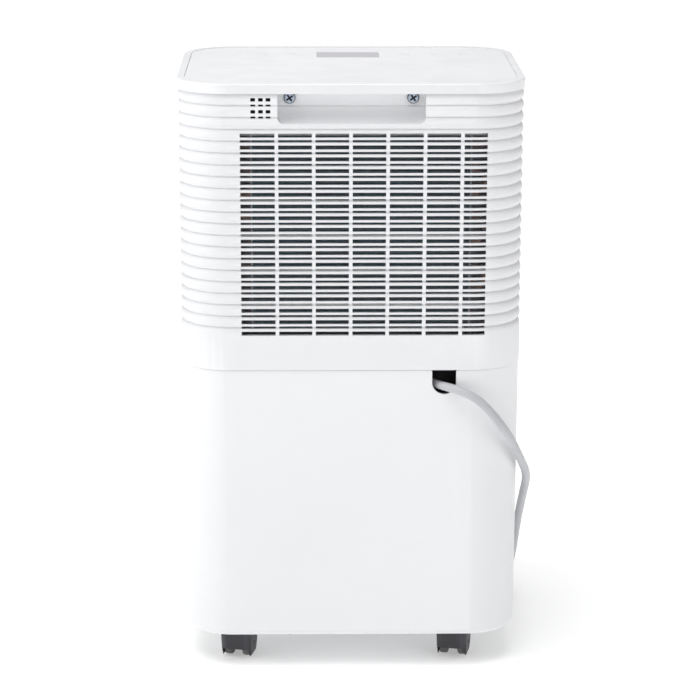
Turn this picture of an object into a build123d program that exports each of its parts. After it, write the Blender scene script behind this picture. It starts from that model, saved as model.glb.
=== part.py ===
"""A compressor dehumidifier, all sizes in millimetres.

+Z is up and the unit stands on its casters at z = 0. Its back, with the air intake, faces -Y, and
the water tank slides out at the front, +Y. The origin is on the floor under the middle of the body.
"""

import os
from math import asin, cos, degrees, pi, radians, sin, tan

from build123d import *

# ---- the body -------------------------------------------------------------------------------
width = 280.0
depth = 216.0
height = 492.0
corner_radius = 42.0
base_z = 28.2  # underside of the body
seam_z = 258.5  # joint between the upper covers and the lower housing
seam_gap = 0.4
lid_height = 8.0
lid_z = height - lid_height
wall = 2.4

half_width = width / 2
half_depth = depth / 2
straight_x = half_width - corner_radius  # corner centres, the same for every wall
straight_y = half_depth - corner_radius

# The ribbed upper wall: convex ribs with sharp grooves between them.
rib_inset = 0.7  # rib peaks behind the lid's band
rib_pitch = 9.5
rib_depth = 2.5
rib_count = 20
rib_radius = ((rib_pitch / 2) ** 2 + rib_depth**2) / (2 * rib_depth)
band_z = lid_z - rib_pitch * (rib_count + 0.5)  # the last rib's peak runs down as a smooth band
cover_split_y = 18.0  # the rear and the front cover meet here

# The lower housing, a little smaller all round, open at the front for the tank.
lower_inset = 1.3
bottom_fillet = 5.0
bottom_flange = 12.0
tank_bay_y = 31.0
sill_z = 36.5

# ---- openings in the covers -----------------------------------------------------------------
grille_left = -88.4
grille_right = 107.8
grille_bar_first = -59.5
grille_bar_pitch = 29.5
grille_bar_width = 2.9
grille_bar_count = 6
grille_first_rib = 3  # ribs above this one have no slots
face_slot_height = 3.4
groove_slot_height = 2.1

vent_columns = (-77.9, -71.8, -65.9)
vent_slot_width = 3.7
vent_face_height = 2.8
vent_groove_height = 1.7

recess_half_width = 58.6
recess_bottom_z = 460.0
recess_step_z = 471.7
recess_depth = 15.5
recess_corner = 4.5
recess_wall = 2.2
handle_screw_x = 49.0
handle_screw_z = 478.8

notch_x = 75.55
notch_width = 19.5
notch_bottom_z = 238.0
notch_lip = 1.5

# ---- the lid and its panel ------------------------------------------------------------------
lid_rim = 6.3
panel_gap = 0.2
panel_thickness = 2.0
panel_drop = 0.4
window_size = (53.0, 32.0)
window_centre = (-0.5, 56.5)

# ---- heat exchangers ------------------------------------------------------------------------
coil_left = -79.0
coil_right = 95.0
coil_bottom_z = 286.0
coil_top_z = 452.0
coil_depth = 22.0
evaporator_y = -80.0
condenser_y = -54.0
tube_radius = 3.5
tube_rows = 8
tube_pitch = 20.0
tube_stub = 2.5
fin_clearance = 0.15
end_plate = 1.5

# ---- fan ------------------------------------------------------------------------------------
fan_x = 8.0
fan_z = 369.0
duct_radius = 76.0
duct_wall = 2.5
shroud_y = -39.0
duct_length = 33.0
blade_count = 5
blade_tip_radius = 71.0
hub_radius = 23.0
shaft_radius = 3.0
running_gap = 0.05

# ---- compressor -----------------------------------------------------------------------------
compressor_x = -52.0
compressor_y = -54.0
compressor_radius = 44.0
compressor_z = 52.0
compressor_height = 150.0
foot_spacing = (46.0, 36.0)

# ---- tank -----------------------------------------------------------------------------------
tank_gap = 0.5
tank_back_y = 6.0
tank_floor_z = 38.6
tank_rim_z = 200.0
tank_wall = 2.2
float_pivot_x = -122.0
float_pivot_z = 184.0
float_pin_radius = 2.0
float_ears_y = (38.0, 65.0)

# ---- casters --------------------------------------------------------------------------------
caster_x = 91.0
caster_y = 63.0
caster_turn = -13.0  # degrees about +Z, how the casters stand at rest
caster_trail = 12.0
hood_width = 26.0
hood_length = 34.0
hood_top_z = 27.4
hood_lip_z = 9.5
wheel_radius = 11.0
wheel_width = 6.6
wheel_gap = 9.0
axle_radius = 2.0
stem_radius = 4.0

# ---- mains cord -----------------------------------------------------------------------------
cord_radius = 3.5
cord_route = [
    (63.2, -90.8, 244.6),
    (72.7, -104.5, 245.0),
    (88.1, -114.2, 243.4),
    (104.4, -118.1, 236.0),
    (119.3, -119.2, 218.7),
    (130.4, -108.9, 201.0),
    (139.0, -93.0, 180.9),
    (149.3, -61.0, 155.0),
    (149.9, -18.0, 124.0),
    (149.6, 30.0, 82.0),
    (149.3, 68.0, 38.0),
    (147.0, 98.0, 5.0),
    (141.5, 130.0, 3.5),
    (131.5, 161.0, 3.5),
    (113.5, 187.0, 3.5),
]
coil_centre = (63.0, 171.5)
coil_ring = (31.0, 52.8)
coil_ring_height = 13.4
plug_lead_route = [(40.2, 210.9, 9.9), (22.0, 200.5, 11.0), (4.5, 190.5, 13.5)]
plug_direction = (-0.866, -0.5)
plug_axis_z = 13.5


def finish(builder, name):
    """Labels a finished piece and writes it as one STEP file."""
    builder.part.label = name
    export_step(builder.part, f"parts/{name}.step")


def slab(half_x, half_y, radius, low, high, mode=Mode.ADD):
    """A rounded rectangular block about the vertical axis, from one height to another."""
    with BuildSketch(Plane.XY.offset(low)) as outline:
        RectangleRounded(2 * half_x, 2 * half_y, radius)
    extrude(outline.sketch, amount=high - low, mode=mode)


def inset_slab(inset, low, high, mode=Mode.ADD):
    """A slab that follows the body's outline, set in by a distance."""
    slab(half_width - inset, half_depth - inset, corner_radius - inset, low, high, mode)


def block(x, y, z, mode=Mode.ADD):
    """A box from pairs of low and high coordinates."""
    with Locations(((x[0] + x[1]) / 2, (y[0] + y[1]) / 2, (z[0] + z[1]) / 2)):
        Box(x[1] - x[0], y[1] - y[0], z[1] - z[0], mode=mode)


def rod(origin, direction, radius, length, mode=Mode.ADD):
    """A round bar from a point along a direction."""
    with BuildSketch(Plane(origin=origin, z_dir=direction)) as disc:
        Circle(radius)
    extrude(disc.sketch, amount=length, mode=mode)


def ring(origin, direction, outer, inner, length):
    """A plain round sleeve from a point along a direction."""
    with BuildSketch(Plane(origin=origin, z_dir=direction)) as annulus:
        Circle(outer)
        Circle(inner, mode=Mode.SUBTRACT)
    extrude(annulus.sketch, amount=length)


def bend_radii(points):
    """The largest tangent arc at each corner of a route, by its shorter run."""
    radii = []
    for before, here, after in zip(points, points[1:], points[2:]):
        run_in = Vector(*here) - Vector(*before)
        run_out = Vector(*after) - Vector(*here)
        turn = radians(run_in.get_angle(run_out))
        radii.append(0.45 * min(run_in.length, run_out.length) / tan(turn / 2))
    return radii


def tube(points, radii, radius):
    """A round tube along straight runs joined by arcs. Returns the path's length."""
    with BuildLine() as path:
        FilletPolyline(*points, radius=radii)
    line = path.wires()[0]
    with BuildSketch(Plane(origin=line @ 0, z_dir=line % 0)) as disc:
        Circle(radius)
    sweep(disc.sketch, path=line)
    return line.length


def rib_wall_section():
    """Section of the ribbed wall: x outwards from the rib peaks, y the height."""
    grooves = [lid_z - rib_pitch * k for k in range(rib_count, -1, -1)]
    with BuildLine() as outline:
        Polyline((-rib_depth - wall, seam_z), (0, seam_z), (0, band_z))
        turn = degrees(asin(rib_pitch / 2 / rib_radius))
        CenterArc((-rib_radius, band_z), rib_radius, 0, turn)
        for low, high in zip(grooves, grooves[1:]):
            ThreePointArc((-rib_depth, low), (0, (low + high) / 2), (-rib_depth, high))
        Polyline((-rib_depth, lid_z), (-rib_depth - wall, lid_z))
        for low, high in zip(grooves, grooves[1:]):
            inner = -rib_depth - wall
            ThreePointArc((inner, low), (-wall, (low + high) / 2), (inner, high))
        Line((-rib_depth - wall, grooves[0]), (-rib_depth - wall, seam_z))
    make_face(outline.edges())


def grille_cells():
    """Centres and widths of the openings between the grille's vertical bars."""
    bars = [grille_bar_first + grille_bar_pitch * i for i in range(grille_bar_count)]
    lows = [grille_left] + [bar + grille_bar_width / 2 for bar in bars]
    highs = [bar - grille_bar_width / 2 for bar in bars] + [grille_right]
    return [((low + high) / 2, high - low) for low, high in zip(lows, highs)]


def grille_slots(cells):
    """Slots in the middle of each rib and in each groove, drawn in x and z."""
    for rib in range(grille_first_rib, rib_count + 1):
        face_z = lid_z - rib_pitch * (rib + 0.5)
        for centre, size in cells:
            with Locations((centre, face_z)):
                Rectangle(size, face_slot_height)
            if rib > grille_first_rib:
                with Locations((centre, face_z + rib_pitch / 2)):
                    Rectangle(size, groove_slot_height)


os.makedirs("parts", exist_ok=True)

# ---- upper covers ---------------------------------------------------------------------------
peak_x = half_width - rib_inset
peak_y = half_depth - rib_inset
with BuildPart() as upper_ring:
    for side in range(4):
        angle = radians(90 * side)
        out = Vector(cos(angle), sin(angle), 0)
        along = Vector(-sin(angle), cos(angle), 0)
        reach, run = (peak_x, straight_y) if side % 2 == 0 else (peak_y, straight_x)
        section = Plane(origin=out * reach + along * run, x_dir=out, z_dir=-along)
        with BuildSketch(section):
            rib_wall_section()
        extrude(amount=2 * run)
        corner = out * (straight_x if side % 2 == 0 else straight_y) + along * run
        with BuildSketch(section):
            rib_wall_section()
        revolve(axis=Axis(corner, (0, 0, 1)), revolution_arc=90)

with BuildPart() as recess_hollow:
    with BuildSketch(Plane.XZ.offset(half_depth - recess_depth)):
        with Locations((0, recess_bottom_z)):
            Rectangle(2 * recess_half_width, 40, align=(Align.CENTER, Align.MIN))
    extrude(amount=recess_depth + 5)
    low_corners = recess_hollow.edges().filter_by(Axis.Y).group_by(Axis.Z)[0]
    fillet(low_corners, recess_corner)
    with BuildSketch(Plane.YZ):
        back = -half_depth + recess_depth
        with BuildLine():
            Polyline((-half_depth - 5, recess_bottom_z), (-half_depth + 1.5, recess_bottom_z))
            TangentArc(
                (-half_depth + 1.5, recess_bottom_z), (back - 1.2, recess_step_z), tangent=(1, 0)
            )
            Polyline(
                (back - 1.2, recess_step_z),
                (back, recess_step_z + 0.8),
                (back, lid_z),
                (-half_depth - 5, lid_z),
                (-half_depth - 5, recess_bottom_z),
            )
        make_face()
    extrude(amount=recess_half_width + 5, both=True, mode=Mode.INTERSECT)

with BuildPart() as upper_rear_cover:
    add(upper_ring.part)
    split(bisect_by=Plane.XZ.offset(-cover_split_y), keep=Keep.TOP)
    block(
        (-recess_half_width - recess_wall, recess_half_width + recess_wall),
        (-half_depth + rib_inset + rib_depth, -half_depth + recess_depth + recess_wall),
        (recess_bottom_z - recess_wall, lid_z),
    )
    add(recess_hollow.part, mode=Mode.SUBTRACT)
    with BuildSketch(Plane.XZ.offset(half_depth - 12)):
        grille_slots(grille_cells())
        for x in vent_columns:
            for rib in range(2):
                with Locations((x, lid_z - rib_pitch * (rib + 0.5))):
                    Rectangle(vent_slot_width, vent_face_height)
                with Locations((x, lid_z - rib_pitch * (rib + 1))):
                    Rectangle(vent_slot_width, vent_groove_height)
    extrude(amount=14, mode=Mode.SUBTRACT)
    with Locations(Plane.XZ.offset(half_depth - recess_depth)):
        with Locations((-handle_screw_x, handle_screw_z), (handle_screw_x, handle_screw_z)):
            Hole(2.2, depth=recess_wall + 2)
finish(upper_rear_cover, "upper_rear_cover")

with BuildPart() as upper_front_cover:
    add(upper_ring.part)
    split(bisect_by=Plane.XZ.offset(-cover_split_y), keep=Keep.BOTTOM)
    with BuildSketch(Plane.XZ.offset(-half_depth - 2)):
        grille_slots([cell for cell in grille_cells() if cell[0] < grille_right - 20])
    extrude(amount=14, mode=Mode.SUBTRACT)
finish(upper_front_cover, "upper_front_cover")

# ---- lid ------------------------------------------------------------------------------------
panel_floor_z = height - panel_drop - panel_thickness
with BuildPart() as top_cover:
    slab(half_width, half_depth, corner_radius, lid_z, height)
    fillet(top_cover.edges().group_by(Axis.Z)[-1], 1.2)
    inset_slab(lid_rim, panel_floor_z, height + 1, Mode.SUBTRACT)
    inset_slab(24, lid_z - 1, panel_floor_z - wall, Mode.SUBTRACT)
    block((-60, 60), (30, 74), (panel_floor_z - wall - 1, panel_floor_z + 1), Mode.SUBTRACT)
    boss_y = (-half_depth + recess_depth + recess_wall, -76)
    for x in (-handle_screw_x, handle_screw_x):
        block((x - 5.5, x + 5.5), boss_y, (handle_screw_z - 5, panel_floor_z - wall))
        rod((x, boss_y[0] - 1, handle_screw_z), (0, 1, 0), 2.05, 20, Mode.SUBTRACT)
finish(top_cover, "top_cover")

with BuildPart() as control_panel:
    inset_slab(lid_rim + panel_gap, panel_floor_z, height - panel_drop)
    fillet(control_panel.edges().group_by(Axis.Z)[-1], 0.4)
    with BuildSketch(Plane.XY.offset(panel_floor_z)):
        with Locations(window_centre):
            RectangleRounded(*window_size, 3)
    extrude(amount=panel_thickness, mode=Mode.SUBTRACT)
finish(control_panel, "control_panel")

with BuildPart() as display_window:
    with BuildSketch(Plane.XY.offset(panel_floor_z)):
        with Locations(window_centre):
            RectangleRounded(window_size[0] - 0.3, window_size[1] - 0.3, 2.85)
    extrude(amount=panel_thickness)
    fillet(display_window.edges().group_by(Axis.Z)[-1], 0.25)
finish(display_window, "display_window")

board_z = panel_floor_z - wall - 1.6
with BuildPart() as display_board:
    block((-55, 55), (34, 76), (board_z, board_z + 1.6))
    for x in (-42, -14, 14, 42):
        block((x - 5, x + 5), (50, 60), (board_z + 1.6, board_z + 3.8))
finish(display_board, "display_board")

# ---- lower housing and base -----------------------------------------------------------------
lower_top_z = seam_z - seam_gap
screw_places = [(x, y) for x in (-131, 131) for y in (-40, 40)]
screw_places += [(x, y) for x in (-50, 50) for y in (-100, 100)]
screw_radius = 1.9
screw_head_radius = 3.6
screw_head_height = 1.6
inner_x = half_width - lower_inset - wall
inner_y = half_depth - lower_inset - wall
with BuildPart() as lower_housing:
    inset_slab(lower_inset, base_z, lower_top_z)
    fillet(lower_housing.edges().group_by(Axis.Z)[0], bottom_fillet)
    inset_slab(lower_inset + wall, base_z + wall, lower_top_z + 1, Mode.SUBTRACT)
    inset_slab(lower_inset + bottom_flange, base_z - 1, base_z + wall + 1, Mode.SUBTRACT)
    block((-150, 150), (tank_bay_y, 120), (sill_z, lower_top_z + 1), Mode.SUBTRACT)
    for x, y in screw_places:
        rod((x, y, base_z - 1), (0, 0, 1), screw_head_radius + 0.3, 1 + screw_head_height, Mode.SUBTRACT)
        rod((x, y, base_z), (0, 0, 1), screw_radius + 0.1, 10, Mode.SUBTRACT)
    with BuildSketch(Plane.XZ.offset(inner_y - 1)):
        with Locations((notch_x, notch_bottom_z + notch_width / 2)):
            Circle(notch_width / 2)
            Rectangle(notch_width, 40, align=(Align.CENTER, Align.MIN))
    extrude(amount=10, mode=Mode.SUBTRACT)
    notch_edges = lower_housing.edges().filter_by(Axis.Y).filter_by_position(
        Axis.Z, lower_top_z - 0.1, lower_top_z + 0.1
    )
    notch_edges = notch_edges.filter_by_position(Axis.X, notch_x - 15, notch_x + 15)
    fillet(notch_edges, notch_lip)
finish(lower_housing, "lower_housing")

pan_z = base_z + wall
caster_stems = [(x, y) for y in (-caster_y, caster_y) for x in (-caster_x, caster_x)]
socket_top_z = 38.0
stem_bore_radius = stem_radius + running_gap
compressor_feet = [
    (compressor_x + x, compressor_y + y)
    for x in (-foot_spacing[0], foot_spacing[0])
    for y in (-foot_spacing[1], foot_spacing[1])
]
with BuildPart() as base_pan:
    inset_slab(lower_inset + wall + 0.5, pan_z, pan_z + 3)
    with BuildSketch(Plane.XY.offset(base_z + 0.2)):
        with Locations(*caster_stems):
            Circle(9.5)
    extrude(amount=socket_top_z - base_z - 0.2)
    for x in (-112, -60, 0, 60, 112):
        block((x - 1.5, x + 1.5), (8, 92), (pan_z + 3, socket_top_z))
    with BuildSketch(Plane.XY.offset(pan_z + 3)):
        with Locations(*compressor_feet):
            Circle(8)
    extrude(amount=5)
    for x, y in screw_places:
        rod((x, y, base_z), (0, 0, 1), screw_radius + 0.1, 10, Mode.SUBTRACT)
    for x, y in caster_stems:
        rod((x, y, base_z), (0, 0, 1), stem_bore_radius, 12, Mode.SUBTRACT)
finish(base_pan, "base_pan")

with BuildPart() as base_screws:
    for x, y in screw_places:
        rod((x, y, base_z + 0.1), (0, 0, 1), screw_head_radius, screw_head_height - 0.1)
        rod((x, y, base_z + screw_head_height), (0, 0, 1), screw_radius, 4)
finish(base_screws, "base_screws")

partition_y = 0.0
deck_z = 246.0
with BuildPart() as bay_partition:
    block((-inner_x + 1, inner_x - 1), (partition_y - 2.2, partition_y), (pan_z + 3, deck_z))
finish(bay_partition, "bay_partition")

pipe_slot_x = (104, 130)
with BuildPart() as chassis_deck:
    slab(inner_x - 1, inner_y - 4, 34, deck_z, deck_z + 2.6)
    block((-108, 108), (92, 99), (deck_z + 2.6, deck_z + 8))
    block(pipe_slot_x, (-92, -40), (deck_z - 1, deck_z + 4), Mode.SUBTRACT)
    block((notch_x - 36, notch_x + 14), (-110, -70), (deck_z - 1, deck_z + 4), Mode.SUBTRACT)
    block((-131, -117), (-38, -14), (deck_z - 1, deck_z + 4), Mode.SUBTRACT)
    block((-12, 28), (12, 40), (deck_z - 1, deck_z + 4), Mode.SUBTRACT)
finish(chassis_deck, "chassis_deck")

tray_z = (260.0, 280.0)
tray_x = (-100.0, 104.0)
tray_y = (-93.5, -42.0)
spout = (8.0, 26.0)
with BuildPart() as drip_tray:
    block(tray_x, tray_y, tray_z)
    block(
        (tray_x[0] + 2, tray_x[1] - 2),
        (tray_y[0] + 2, tray_y[1] - 2),
        (tray_z[0] + 3, tray_z[1] + 1),
        Mode.SUBTRACT,
    )
    for x in (tray_x[0] + 6, tray_x[1] - 6):
        for y in (tray_y[0] + 6, tray_y[1] - 6):
            rod((x, y, tray_z[0]), (0, 0, -1), 4, tray_z[0] - deck_z - 2.6)
    block((spout[0] - 8, spout[0] + 8), (tray_y[1], spout[1] + 8), (tray_z[0], tray_z[0] + 12))
    block(
        (spout[0] - 6, spout[0] + 6),
        (tray_y[1] - 4, spout[1] + 6),
        (tray_z[0] + 3, tray_z[0] + 10),
        Mode.SUBTRACT,
    )
    rod((*spout, tray_z[0]), (0, 0, -1), 7, 42)
    rod((*spout, tray_z[0] + 4), (0, 0, -1), 5, 50, Mode.SUBTRACT)
finish(drip_tray, "drip_tray")

# ---- filter ---------------------------------------------------------------------------------
filter_x = 114.0
filter_open_x = 109.0
filter_open_z = (285.2, 449.4)
filter_front_y = -98.0
filter_back_y = -94.0
filter_bar_z = (425.0, 312.1)  # top edges of the first and the last cross bar
filter_bar_count = 5
filter_bar_height = 2.2
with BuildPart() as filter_frame:
    with BuildSketch(Plane.XZ.offset(-filter_back_y)):
        middle_z = (filter_open_z[0] + filter_open_z[1]) / 2
        opening_height = filter_open_z[1] - filter_open_z[0]
        with Locations((0, middle_z)):
            RectangleRounded(2 * filter_x, opening_height + 11, 3)
            Rectangle(2 * filter_open_x, opening_height, mode=Mode.SUBTRACT)
    extrude(amount=filter_back_y - filter_front_y)
    bar_step = (filter_bar_z[1] - filter_bar_z[0]) / (filter_bar_count - 1)
    for i in range(filter_bar_count):
        top = filter_bar_z[0] + bar_step * i
        block((-filter_open_x, filter_open_x), (-97, -95), (top - filter_bar_height, top))
finish(filter_frame, "filter_frame")

with BuildPart() as filter_mesh:
    block((-filter_open_x, filter_open_x), (-95, -94.6), filter_open_z)
finish(filter_mesh, "filter_mesh")

# ---- heat exchangers ------------------------------------------------------------------------
tube_first_z = (coil_bottom_z + coil_top_z) / 2 - tube_pitch * (tube_rows - 1) / 2
bend_radius = tube_pitch / 2
coils = {"evaporator": evaporator_y, "condenser": condenser_y}


def tube_holes(y):
    """Clearance holes for a coil's tubes, cut through everything in the current part."""
    with BuildSketch(Plane.YZ.offset(coil_left - 10)) as holes:
        with Locations(*[(y, tube_first_z + tube_pitch * row) for row in range(tube_rows)]):
            Circle(tube_radius + fin_clearance)
    extrude(holes.sketch, amount=coil_right - coil_left + 20, mode=Mode.SUBTRACT)


for coil_name, coil_y in coils.items():
    with BuildPart() as fins:
        block(
            (coil_left, coil_right),
            (coil_y - coil_depth / 2, coil_y + coil_depth / 2),
            (coil_bottom_z, coil_top_z),
        )
        tube_holes(coil_y)
    finish(fins, f"{coil_name}_fins")

    with BuildPart() as tubes:
        left = coil_left - end_plate - tube_stub
        right = coil_right + end_plate + tube_stub
        with BuildLine() as serpentine:
            for row in range(tube_rows):
                z = tube_first_z + tube_pitch * row
                ends = (right, left) if row % 2 == 0 else (left, right)
                Line((ends[0], coil_y, z), (ends[1], coil_y, z))
                if row < tube_rows - 1:
                    bulge = -bend_radius if row % 2 == 0 else bend_radius
                    ThreePointArc(
                        (ends[1], coil_y, z),
                        (ends[1] + bulge, coil_y, z + bend_radius),
                        (ends[1], coil_y, z + tube_pitch),
                    )
        with BuildSketch(Plane(origin=(right, coil_y, tube_first_z), z_dir=(-1, 0, 0))):
            Circle(tube_radius)
        sweep(path=serpentine.wires()[0])
    finish(tubes, f"{coil_name}_tubes")

with BuildPart() as coil_end_plates:
    for x in (coil_left - end_plate, coil_right):
        block(
            (x, x + end_plate),
            (evaporator_y - coil_depth / 2 - 1, condenser_y + coil_depth / 2 + 1),
            (coil_bottom_z - 5, coil_top_z + 2),
        )
        block((x, x + end_plate), (evaporator_y - 10, condenser_y + 9), (tray_z[0] + 3, coil_bottom_z - 4))
    for coil_y in coils.values():
        tube_holes(coil_y)
finish(coil_end_plates, "coil_end_plates")

# ---- fan ------------------------------------------------------------------------------------
fan_front = shroud_y + duct_length
with BuildPart() as fan_shroud:
    block((-118, 128), (shroud_y - 2.5, shroud_y), (deck_z + 2.6, 474))
    block((spout[0] - 9, spout[0] + 9), (shroud_y - 4, shroud_y + 1), (deck_z, tray_z[0] + 13), Mode.SUBTRACT)
    ring((fan_x, shroud_y, fan_z), (0, 1, 0), duct_radius + duct_wall, duct_radius, duct_length)
    rod((fan_x, shroud_y - 5, fan_z), (0, 1, 0), duct_radius, 10, Mode.SUBTRACT)
finish(fan_shroud, "fan_shroud")

bracket_length = 5.0
with BuildPart() as motor_bracket:
    ring(
        (fan_x, fan_front, fan_z), (0, 1, 0), duct_radius + duct_wall, duct_radius - 4, bracket_length
    )
    rod((fan_x, fan_front, fan_z), (0, 1, 0), 32, bracket_length)
    with BuildSketch(Plane(origin=(fan_x, fan_front, fan_z), z_dir=(0, 1, 0))):
        with PolarLocations(52, 3, start_angle=30):
            Rectangle(46, 8)
    extrude(amount=bracket_length)
    rod((fan_x, fan_front - 1, fan_z), (0, 1, 0), 7, bracket_length + 2, Mode.SUBTRACT)
finish(motor_bracket, "motor_bracket")

motor_y = fan_front + bracket_length
motor_length = 44.0
with BuildPart() as fan_motor:
    rod((fan_x, motor_y, fan_z), (0, 1, 0), 30, motor_length)
    fillet(fan_motor.edges().group_by(Axis.Y)[-1], 6)
    rod((fan_x, motor_y, fan_z), (0, -1, 0), 6.8, 4)
    rod((fan_x, motor_y - 6, fan_z), (0, 1, 0), shaft_radius + running_gap, 40, Mode.SUBTRACT)
    for i in range(12):
        turn = radians(30 * i)
        groove = (fan_x + 30.4 * cos(turn), motor_y + 8, fan_z + 30.4 * sin(turn))
        rod(groove, (0, 1, 0), 1.4, 26, Mode.SUBTRACT)
finish(fan_motor, "fan_motor")

hub_front_y = fan_front - 3
hub_back_y = shroud_y + 1
with BuildPart() as fan_shaft:
    rod((fan_x, hub_back_y + 4, fan_z), (0, 1, 0), shaft_radius, motor_y + 30 - hub_back_y - 4)
finish(fan_shaft, "fan_shaft")


def blade_section(radius, chord, pitch, thickness):
    """A blade's section at a distance from the fan's axis."""
    chord_way = Vector(0, sin(radians(pitch)), cos(radians(pitch)))
    place = Plane(origin=(fan_x + radius, blade_y, fan_z), x_dir=chord_way, z_dir=(1, 0, 0))
    with BuildSketch(place) as section:
        Ellipse(chord / 2, thickness / 2)
    return section.sketch


blade_y = (hub_front_y + hub_back_y) / 2
with BuildPart() as blade:
    loft(
        [
            blade_section(hub_radius - 4, 30, 42, 3.4),
            blade_section(46, 44, 31, 2.8),
            blade_section(blade_tip_radius, 44, 24, 2.0),
        ]
    )

with BuildPart() as fan_impeller:
    rod((fan_x, hub_back_y, fan_z), (0, 1, 0), hub_radius, hub_front_y - hub_back_y)
    fillet(fan_impeller.edges().group_by(Axis.Y)[0], 5)
    for i in range(blade_count):
        add(blade.part.rotate(Axis((fan_x, 0, fan_z), (0, 1, 0)), 360 / blade_count * i))
    rod((fan_x, hub_front_y - 14, fan_z), (0, 1, 0), hub_radius - 2.2, 15, Mode.SUBTRACT)
    rod((fan_x, hub_back_y + 6, fan_z), (0, 1, 0), 6, hub_front_y - hub_back_y - 7)
    rod((fan_x, hub_back_y + 4, fan_z), (0, 1, 0), shaft_radius, 40, Mode.SUBTRACT)
finish(fan_impeller, "fan_impeller")

# ---- compressor and pipes -------------------------------------------------------------------
shell_top_z = compressor_z + compressor_height
with BuildPart() as compressor:
    rod((compressor_x, compressor_y, compressor_z), (0, 0, 1), compressor_radius, compressor_height)
    fillet(compressor.edges().group_by(Axis.Z)[-1], 18)
    fillet(compressor.edges().group_by(Axis.Z)[0], 10)
    ring((compressor_x, compressor_y, shell_top_z - 30), (0, 0, 1), compressor_radius + 1.2, 40, 5)
    ring((compressor_x, compressor_y, compressor_z + 18), (0, 0, 1), compressor_radius + 1.2, 40, 5)
    rod((compressor_x + 14, compressor_y, shell_top_z - 4), (0, 0, 1), 5, 10)
    with BuildSketch(Plane.XY.offset(compressor_z - 3)):
        with Locations((compressor_x, compressor_y)):
            Circle(40)
        for x, y in compressor_feet:
            with Locations((x, y)):
                Circle(10)
        make_hull()
        with Locations(*compressor_feet):
            Circle(5.2, mode=Mode.SUBTRACT)
    extrude(amount=3.4)
finish(compressor, "compressor")

foot_seat_z = pan_z + 8
with BuildPart() as compressor_grommets:
    for x, y in compressor_feet:
        ring((x, y, foot_seat_z), (0, 0, 1), 8, 3.2, compressor_z - 3 - foot_seat_z)
        ring((x, y, compressor_z - 3), (0, 0, 1), 5.0, 3.2, 3.4)
        ring((x, y, compressor_z + 0.4), (0, 0, 1), 8, 3.2, 3)
finish(compressor_grommets, "compressor_grommets")

with BuildPart() as compressor_bolts:
    for x, y in compressor_feet:
        rod((x, y, foot_seat_z), (0, 0, 1), 3.0, compressor_z + 9 - foot_seat_z)
        with BuildSketch(Plane.XY.offset(compressor_z + 3.4)):
            with Locations((x, y)):
                RegularPolygon(5, 6)
        extrude(amount=4.4)
finish(compressor_bolts, "compressor_bolts")

with BuildPart() as terminal_cover:
    rod((compressor_x - 10, compressor_y, shell_top_z), (0, 0, 1), 15, 20)
    fillet(terminal_cover.edges().group_by(Axis.Z)[-1], 4)
finish(terminal_cover, "terminal_cover")

accumulator_x = 16.0
with BuildPart() as accumulator:
    rod((accumulator_x, compressor_y, 78), (0, 0, 1), 19, 112)
    fillet(accumulator.edges().group_by(Axis.Z)[-1], 14)
    fillet(accumulator.edges().group_by(Axis.Z)[0], 12)
finish(accumulator, "accumulator")

with BuildPart() as accumulator_strap:
    block(
        (compressor_x + compressor_radius + 1.3, accumulator_x - 16),
        (compressor_y - 9, compressor_y + 9),
        (126, 140),
    )
    rod((accumulator_x, compressor_y, 120), (0, 0, 1), 19.1, 30, Mode.SUBTRACT)
    ring((accumulator_x, compressor_y, 126), (0, 0, 1), 20.6, 19.1, 14)
finish(accumulator_strap, "accumulator_strap")

pipe_radius = 3.2
coil_joint_x = coil_right + end_plate + tube_stub  # where the pipes meet the coils' open ends
coil_inlet_z = tube_first_z + tube_pitch * (tube_rows - 1)
riser_x = 118.0
liquid_x = 110.0
with BuildPart() as discharge_pipe:
    tube(
        [
            (compressor_x + 14, compressor_y, shell_top_z + 6),
            (compressor_x + 14, compressor_y, shell_top_z + 26),
            (riser_x, condenser_y, shell_top_z + 26),
            (riser_x, condenser_y, coil_inlet_z),
            (coil_joint_x, condenser_y, coil_inlet_z),
        ],
        12,
        pipe_radius,
    )
finish(discharge_pipe, "discharge_pipe")

with BuildPart() as suction_pipe:
    tube(
        [
            (accumulator_x, compressor_y - 0.5, 190),
            (accumulator_x, compressor_y - 0.5, 212),
            (riser_x + 2, evaporator_y, 212),
            (riser_x + 2, evaporator_y, coil_inlet_z),
            (coil_joint_x, evaporator_y, coil_inlet_z),
        ],
        12,
        pipe_radius,
    )
finish(suction_pipe, "suction_pipe")

drier_x = 52.0
drier_y = -40.0
drier_z = (96.0, 180.0)
with BuildPart() as filter_drier:
    rod((drier_x, drier_y, drier_z[0]), (0, 0, 1), 9, drier_z[1] - drier_z[0])
    fillet(filter_drier.edges().group_by(Axis.Z)[-1], 6)
    fillet(filter_drier.edges().group_by(Axis.Z)[0], 6)
    tube(
        [
            (coil_joint_x, condenser_y, tube_first_z),
            (liquid_x, condenser_y, tube_first_z),
            (liquid_x, condenser_y, 262),
            (liquid_x, condenser_y + 8, 250),
            (liquid_x, condenser_y + 8, 78),
            (drier_x, drier_y, 78),
            (drier_x, drier_y, drier_z[0] + 1),
        ],
        9,
        2.5,
    )
finish(filter_drier, "filter_drier")

with BuildPart() as capillary_tube:
    tube(
        [
            (drier_x, drier_y, drier_z[1]),
            (drier_x, drier_y, 196),
            (liquid_x - 1, evaporator_y - 7, 196),
            (liquid_x - 1, evaporator_y - 7, 250),
            (liquid_x - 1, evaporator_y, 262),
            (liquid_x - 1, evaporator_y, tube_first_z),
            (coil_joint_x, evaporator_y, tube_first_z),
        ],
        8,
        1.4,
    )
finish(capillary_tube, "capillary_tube")

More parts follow.
